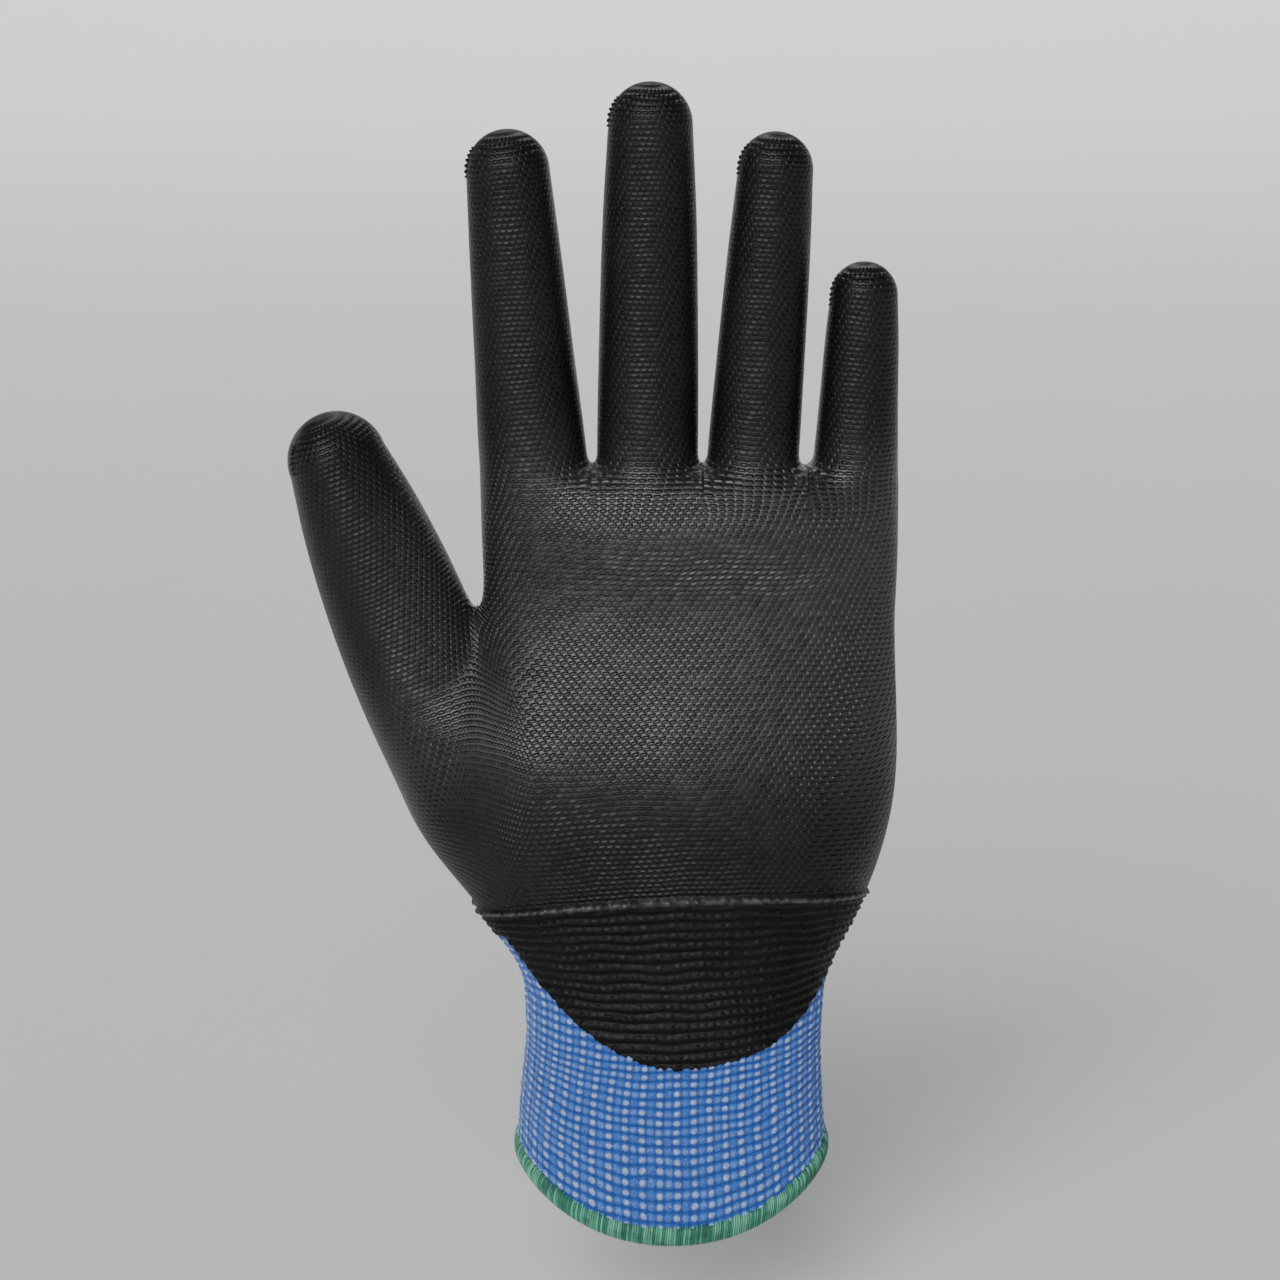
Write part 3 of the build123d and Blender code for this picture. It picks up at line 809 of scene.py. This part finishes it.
# ---- Materials ----
class Nodes:
    """A node tree. A value put into it is a number, a colour or another node's output."""

    def __init__(self, tree):
        self.tree = tree

    def put(self, socket, value):
        if isinstance(value, bpy.types.NodeSocket):
            self.tree.links.new(value, socket)
        else:
            socket.default_value = value

    def node(self, kind, values=(), **settings):
        node = self.tree.nodes.new("ShaderNode" + kind)
        for name, value in settings.items():
            setattr(node, name, value)
        for socket, value in zip(node.inputs, values):
            self.put(socket, value)
        return node

    def math(self, operation, *values):
        return self.node("Math", values, operation=operation).outputs[0]

    def times(self, first, *others):
        for other in others:
            first = self.math("MULTIPLY", first, other)
        return first

    def past_middle(self, value):
        """How far a count of stitches or turns is past the middle of its own, from -0.5 to 0.5."""
        return self.math("SUBTRACT", self.math("FRACT", value), 0.5)

    def step(self, value, low, high, to_low=0.0, to_high=1.0):
        values = (value, low, high, to_low, to_high)
        return self.node("MapRange", values, interpolation_type="SMOOTHSTEP").outputs[0]

    def fill(self, node, values):
        for socket, value in values.items():
            self.put(node.inputs[socket], value)
        return node.outputs

    def mix(self, share, first, second):
        return self.fill(self.node("Mix", data_type="RGBA"), {0: share, 6: first, 7: second})[2]

    def join(self, x, y, z=0.0):
        return self.node("CombineXYZ", (x, y, z)).outputs[0]

    def noise(self, vector, scale, detail=2.0):
        return self.fill(self.node("TexNoise"), {"Vector": vector, "Scale": scale, "Detail": detail})["Fac"]

    def random(self, vector):
        return self.node("TexWhiteNoise", (vector,)).outputs["Value"]

    def stitch(self):
        """The wale, the course, and how far the hand's rows slant or how much painted highlight and gloss the
        wrist's ribs get.
        """
        vector = self.node("Attribute", attribute_name="stitch").outputs["Vector"]
        return self.node("SeparateXYZ", (vector,)).outputs

    def place(self):
        return self.node("TexCoord").outputs["Object"]

    def across_place(self, limits):
        """1 where a point is past every one of some (axis, start, end) limits in millimetres, fading to 0."""
        split = self.node("SeparateXYZ", (self.place(),)).outputs
        total = 1.0
        for axis, start, end in limits:
            low, high = sorted((start, end))
            share = self.step(split[axis], low * MM, high * MM, float(start > end), float(start < end))
            total = self.times(total, share)
        return total


class Material(Nodes):
    def __init__(self, name, **settings):
        self.material = bpy.data.materials.new(name)
        self.material.use_nodes = True
        super().__init__(self.material.node_tree)
        self.shader = self.tree.nodes["Principled BSDF"]
        for socket, value in settings.items():
            self.set(socket.replace("_", " "), value)

    def set(self, socket, value):
        self.put(self.shader.inputs[socket], value)

    def bump(self, height, distance):
        values = {"Height": height, "Distance": distance * MM, "Strength": 1.0}
        self.set("Normal", self.fill(self.node("Bump"), values)[0])


def rgb(display):
    """A linear colour from the three 0 to 255 values of a display colour."""
    shares = np.divide(display, 255)
    linear = np.where(shares <= 0.04045, shares / 12.92, ((shares + 0.055) / 1.055)**2.4)
    return (*linear.tolist(), 1.0)


def knit_material(name, relief_depth):
    """Blue and white marl knit: columns of white nubs between columns of mottled blue stitches, with painted
    shade in the gaps round each stitch.
    """
    m = Material(name, Sheen_Weight=0.25, Sheen_Roughness=0.5, Specular_IOR_Level=0.25)
    wale, course, _ = m.stitch()
    place = m.place()
    drift = m.times(m.math("SUBTRACT", m.noise(place, 120.0), 0.5), 0.35)
    wale, course = m.math("ADD", wale, m.times(drift, 0.5)), m.math("ADD", course, drift)
    across, up = m.past_middle(wale), m.past_middle(course)
    column = m.math("FLOOR", wale)
    luck = m.random(m.join(column, m.math("FLOOR", course)))
    odd = m.math("FLOORED_MODULO", column, 2.0)
    squares = [m.math("POWER", m.math("DIVIDE", *side), 2.0) for side in ((across, 0.50), (up, 0.36))]
    far = m.math("SQRT", m.math("ADD", *squares))
    nub = m.step(far, 0.95, 0.55)
    fibre = m.noise(m.join(m.times(wale, 4.0), m.times(course, 5.0), luck), 2.6, 4.0)
    blue = m.mix(m.step(fibre, 0.32, 0.66), rgb(BLUE_DARK), rgb(BLUE_LIGHT))
    # Painted shade: the blue darkens away from each stitch's middle, in the gaps between stitches
    blue = m.mix(m.step(far, 1.5, 0.9, 0.35), rgb(BLUE_GAP_SHADE), blue)
    light = m.mix(m.step(fibre, 0.35, 0.65), rgb(WHITE_DARK), rgb(WHITE_LIGHT))
    marl_light = m.mix(m.step(fibre, 0.38, 0.62), rgb(MARL_DARK), rgb(MARL_LIGHT))
    fleck = m.step(m.noise(place, 1500.0), 0.42, 0.62, 0.55, 1.0)
    marl_share = m.times(nub, m.step(luck, 0.05, 0.9, 0.15, 0.9))
    white_share = m.times(nub, fleck, m.step(luck, 0.0, 0.3, 0.7, 1.0))
    marl, white = m.mix(marl_share, blue, marl_light), m.mix(white_share, blue, light)
    m.set("Base Color", m.mix(m.math("SUBTRACT", 1.0, odd), marl, white))
    m.set("Roughness", m.step(fibre, 0.2, 0.8, 0.7, 0.92))
    rounding = m.math("SQRT", m.math("MAXIMUM", m.math("SUBTRACT", 1.0, m.times(far, far)), 0.0))
    rounding = m.times(rounding, m.math("SUBTRACT", 1.0, m.times(odd, 0.35)))
    m.bump(m.math("ADD", m.times(rounding, relief_depth), m.times(fibre, 0.12)), 1.0)
    return m.material


def coating_material():
    """Black coating on the hand, glossiest on the palm, where a painted sheen lightens its colour: the knit
    shows as rows of small slanting ridges.
    """
    m = Material("coated_palm")
    wale, course, slant = m.stitch()
    place = m.place()
    soft, fine = m.noise(place, 45.0, 3.0), m.noise(place, 900.0)
    wave = m.times(m.math("SUBTRACT", m.noise(place, 70.0), 0.5), 1.6)
    rows = m.math("ADD", m.times(course, ROWS_PER_COURSE), wave)
    row = m.math("FLOOR", rows)
    dash = m.math("SUBTRACT", m.times(wale, DASHES_PER_WALE), m.times(row, DASH_SHIFT))
    luck = m.random(m.join(row, m.math("FLOOR", dash)))
    across = m.past_middle(dash)
    up = m.math("SUBTRACT", m.past_middle(rows), m.times(across, slant, DASH_TILT))
    ridge_up = m.step(m.math("ABSOLUTE", up), 0.44, 0.04)
    ridge_across = m.step(m.math("ABSOLUTE", across), 0.52, 0.22)
    uneven, patchy = m.step(luck, 0.0, 1.0, 0.55, 1.0), m.step(m.noise(place, 110.0), 0.35, 0.6, 0.85, 1.0)
    hump = m.times(ridge_up, ridge_across, uneven, patchy)
    palm = m.across_place(PALM_FADES)
    # Painted sheen: the palm's coating is coloured lighter, fading out towards the fingers, the thumb's side
    # and the wrist; the same share also raises its gloss
    sheen_and_gloss = m.times(palm, m.across_place(WRIST_FADE))
    thick = m.mix(m.step(soft, 0.35, 0.65), rgb(COAT_DARK), rgb(COAT_LIGHT))
    m.set("Base Color", m.mix(sheen_and_gloss, thick, rgb(COAT_PAINTED_SHEEN)))
    m.set("Specular IOR Level", m.step(sheen_and_gloss, 0.0, 1.0, *COAT_GLOSS))
    rough = m.math("ADD", m.step(soft, 0.3, 0.7, 0.36, 0.44), m.times(fine, 0.06))
    m.set("Roughness", m.math("SUBTRACT", rough, m.times(hump, 0.06)))
    dash_height = m.step(palm, 0.0, 1.0, DASH_HEIGHT * STALL_DASH, DASH_HEIGHT)
    m.bump(m.math("ADD", m.times(fine, 0.03), m.times(hump, dash_height)), 1.0)
    return m.material


def ribbed_material():
    """The coating soaked into the wrist's ribs: matt black over rough yarn, with a painted highlight and more
    gloss on the raised line and the ribs' tops.
    """
    m = Material("dipped_ribs")
    _, _, highlight_and_gloss = m.stitch()
    place = m.place()
    soft, fibre = m.noise(place, 60.0, 3.0), m.noise(place, 1300.0, 3.0)
    # Painted highlight and gloss, in patches, on the raised line and the ribs' tops
    highlight_and_gloss = m.times(highlight_and_gloss, m.step(m.noise(place, 500.0), 0.35, 0.6, 0.35, 1.0))
    black = m.mix(m.step(soft, 0.35, 0.65), rgb(RIB_DARK), rgb(RIB_LIGHT))
    m.set("Base Color", m.mix(highlight_and_gloss, black, rgb(RIB_PAINTED_HIGHLIGHT)))
    m.set("Specular IOR Level", m.step(highlight_and_gloss, 0.0, 1.0, *RIB_GLOSS))
    m.set("Roughness", m.step(fibre, 0.3, 0.7, 0.38, 0.56))
    m.bump(fibre, 0.12)
    return m.material


def overlock_material():
    """Sewing thread: each turn its own tone, with painted shade in the gaps between turns."""
    light, middle, dark = rgb(HEM_LIGHT), rgb(HEM_GREEN), rgb(HEM_DARK_AND_GAP_SHADE)
    m = Material("overlock_thread", Sheen_Weight=0.3, Sheen_Roughness=0.4, Specular_IOR_Level=0.35)
    turn, _, _ = m.stitch()
    place = m.place()
    gap = m.math("ABSOLUTE", m.past_middle(turn))
    luck = m.random(m.join(m.math("FLOOR", turn), 0.0))
    twist, patch = m.noise(place, 1400.0, 3.0), m.noise(place, 240.0)
    shade = m.mix(m.step(m.math("ADD", luck, m.times(twist, 0.5)), 0.3, 1.2), middle, light)
    shade = m.mix(m.step(patch, 0.46, 0.7, 0.0, 0.5), shade, dark)
    # Painted shade in the gaps between turns
    m.set("Base Color", m.mix(m.step(gap, 0.28, 0.48), shade, dark))
    m.set("Roughness", m.step(twist, 0.3, 0.7, 0.47, 0.67))
    m.bump(twist, 0.10)
    return m.material


def yarn_material(name, light, dark):
    """Spun yarn or elastic that needs no stitch places: twisted fibres along it."""
    m = Material(name, Sheen_Weight=0.2, Specular_IOR_Level=0.3)
    place = m.place()
    fibre = m.noise(place, 1100.0, 4.0)
    m.set("Base Color", m.mix(m.step(fibre, 0.3, 0.7), dark, light))
    m.set("Roughness", m.step(fibre, 0.3, 0.7, 0.65, 0.9))
    m.bump(fibre, 0.15)
    return m.material


# ---- Studio ----
def floor_material():
    m = Material("studio_floor", Roughness=0.9, Specular_IOR_Level=0.1)
    grain = m.noise(m.place(), 3.0, 4.0)
    m.set("Base Color", m.mix(grain, *((shade, shade, shade, 1) for shade in FLOOR_SHADES)))
    return m.material


def make_floor():
    """A floor that sweeps up into a backdrop behind the glove and on both sides."""
    sweep = np.linspace(SWEEP_START, SWEEP_END, SWEEP_STEPS)
    x, y = np.meshgrid(np.concatenate([-sweep[::-1], sweep]), np.concatenate([[-FLOOR_HALF], sweep]))
    rise = np.maximum(np.abs(x) - SWEEP_START, 0)**2 + np.maximum(y - SWEEP_START, 0)**2
    points = np.stack([x, y, FLOOR_Z + SWEEP_RISE * rise], axis=-1).reshape(-1, 3)
    rows, columns = x.shape
    corner = (np.arange(rows - 1)[:, None] * columns + np.arange(columns - 1)).reshape(-1, 1)
    faces = (corner + [0, 1, columns + 1, columns]).tolist()
    mesh = bpy.data.meshes.new("floor")
    mesh.from_pydata(points.tolist(), [], faces)
    mesh.polygons.foreach_set("use_smooth", [True] * len(faces))
    mesh.materials.append(floor_material())
    placed("floor", mesh)


def aim(thing, target):
    direction = Vector(target) - thing.location
    thing.rotation_euler = direction.to_track_quat("-Z", "Y").to_euler()


def add_light(name, kind, location, target=OBJECT_MIDDLE, **settings):
    data = bpy.data.lights.new(name, kind)
    for setting, value in settings.items():
        setattr(data, setting, value)
    light = placed(name, data)
    light.location = location
    aim(light, target)


def add_lights():
    turn, rise = radians(SUN_TURN), radians(SUN_ELEVATION)
    toward = Vector((sin(turn) * cos(rise), -cos(turn) * cos(rise), sin(rise)))
    add_light("key_light", "SUN", Vector(OBJECT_MIDDLE) + toward, energy=SUN_STRENGTH,
              angle=radians(SUN_SPREAD))
    add_light("floor_light", "AREA", FLOOR_LIGHT, FLOOR_LIGHT_TARGET, shape="DISK", size=FLOOR_LIGHT_SIZE,
              energy=FLOOR_LIGHT_POWER)


def make_sky():
    """White light all round, bright only low down behind the glove."""
    world = bpy.data.worlds.new("studio")
    world.use_nodes = True
    nodes = Nodes(world.node_tree)
    split = nodes.node("SeparateXYZ", (nodes.node("TexCoord").outputs["Generated"],)).outputs
    low, behind = nodes.step(split["Z"], *SKY_BAND, 1.0, 0.0), nodes.step(split["Y"], *SKY_SIDE, 1.0, 0.0)
    values = (nodes.times(low, behind), 0.0, 1.0, SKY_HIGH, SKY_LOW)
    strength = nodes.node("MapRange", values).outputs[0]
    nodes.fill(nodes.tree.nodes["Background"], {"Color": (1, 1, 1, 1), "Strength": strength})
    bpy.context.scene.world = world


def add_camera():
    camera = placed("camera", bpy.data.cameras.new("camera"))
    camera.data.sensor_width = SENSOR_WIDTH
    camera.data.lens = CAMERA_DISTANCE / FRAME_WIDTH * SENSOR_WIDTH
    elevation = radians(CAMERA_ELEVATION)
    target = Vector(CAMERA_TARGET)
    camera.location = target + CAMERA_DISTANCE * Vector((0, -cos(elevation), sin(elevation)))
    aim(camera, target)
    bpy.context.scene.camera = camera


def make_studio():
    make_floor()
    add_lights()
    make_sky()
    add_camera()


# ---- Glove ----
def make_glove():
    make_hand(knit_material("hand_knit", 0.5), coating_material())
    make_cuff(knit_material("cuff_knit_yarn", 0.25), ribbed_material())
    make_hem(overlock_material())
    make_seams(yarn_material("stitching_yarn", rgb(STITCH_LIGHT), rgb(STITCH_DARK)))
    make_elastic(yarn_material("elastic_yarn", rgb(ELASTIC_LIGHT), rgb(ELASTIC_DARK)))


make_glove()
make_studio()
